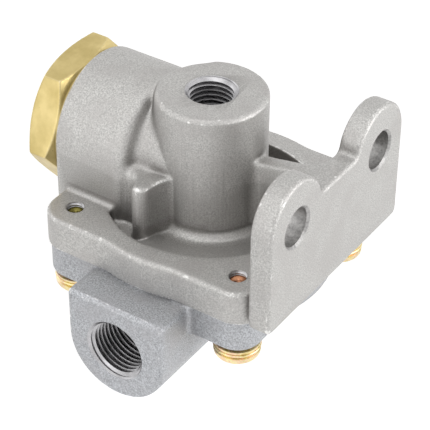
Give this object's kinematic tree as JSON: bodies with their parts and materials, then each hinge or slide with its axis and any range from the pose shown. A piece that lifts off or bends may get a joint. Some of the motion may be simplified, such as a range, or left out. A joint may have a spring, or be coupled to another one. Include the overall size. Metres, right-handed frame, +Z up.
{
  "type": "quick exhaust valve",
  "caption": "Quick exhaust valve for air brakes: flanged cast body with upright balance port, hex cap nut supply port, crosswise delivery tunnel and an eared bracket plate",
  "frame": {"origin": "centre of the exhaust port's mouth on the underside, where the valve stands", "axes": "+Z up along the balance port, +X towards the mounting bracket's outer face, +Y to the rear delivery port"},
  "size_m": [0.0841, 0.0874, 0.0705],
  "materials": {
    "body_casting": "shot-blasted cast aluminium, fine grain",
    "cover_casting": "die-cast, slightly bluish satin grain",
    "nut_brass": "turned brass, pale satin with fine specks",
    "screw_zinc": "yellow zinc plated steel",
    "washer_zinc": "yellow zinc plated steel",
    "seal_rubber": "black nitrile rubber",
    "guide_plastic": "natural moulded nylon",
    "seat_metal": "turned aluminium",
    "spring_steel": "bright drawn spring wire"
  },
  "bodies": {
    "housing": {"body": "body_casting", "cover": "cover_casting", "cap_nut": "nut_brass", "cap_nut_seal": "seal_rubber", "check_guide": "guide_plastic", "return_spring": "spring_steel", "cover_seal": "seal_rubber", "cover_screw_1": "screw_zinc", "lock_washer_1": "washer_zinc", "cover_screw_2": "screw_zinc", "lock_washer_2": "washer_zinc", "cover_screw_3": "screw_zinc", "lock_washer_3": "washer_zinc", "cover_screw_4": "screw_zinc", "lock_washer_4": "washer_zinc"},
    "diaphragm": {"release_diaphragm": "seal_rubber", "spring_seat": "seat_metal"},
    "check": {"check_disc": "seal_rubber"}
  },
  "joints": [
    {"name": "diaphragm_lift", "type": "slide", "parent": "housing", "child": "diaphragm", "axis": [0, 0, 1], "range_m": [0, 0.002], "stiffness_N_per_m": 500, "springref_m": -0.004, "deforming": ["return_spring"]},
    {"name": "check_shuttle", "type": "slide", "parent": "housing", "child": "check", "axis": [-1, 0, 0], "range_m": [0, 0.0025]}
  ]
}
